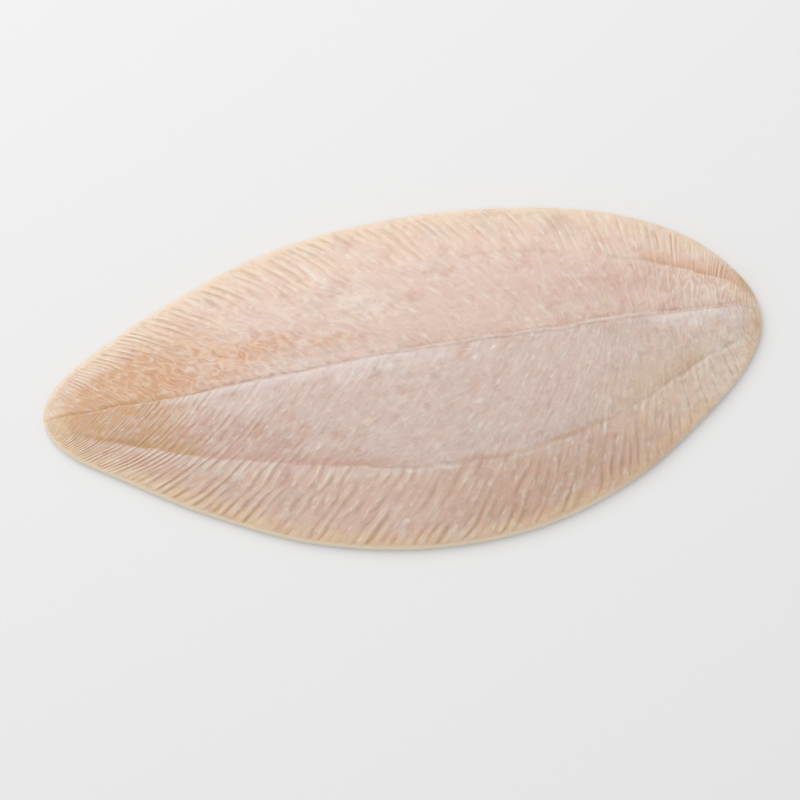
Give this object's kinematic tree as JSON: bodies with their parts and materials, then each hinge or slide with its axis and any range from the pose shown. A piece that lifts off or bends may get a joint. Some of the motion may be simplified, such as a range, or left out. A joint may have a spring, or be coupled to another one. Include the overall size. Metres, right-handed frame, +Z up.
{
  "type": "sole fish",
  "caption": "Dressed raw sole, a leaf-shaped flat fish with a centre groove, two seams and swept muscle ribs out to a thin smooth edge.",
  "frame": {"origin": "centre of the footprint's box, on the surface that the fish lies on", "axes": "+X along the fish to its head end, +Y to its upper edge as the picture shows it, +Z up out of the ribbed side"},
  "size_m": [0.2688, 0.1232, 0.0206],
  "materials": {
    "flesh": "moist raw fish flesh with a soft sheen, greyish pink, turning cream at the edge and ochre at the tail"
  },
  "bodies": {
    "root": {"sole_fish": "flesh"}
  },
  "joints": []
}
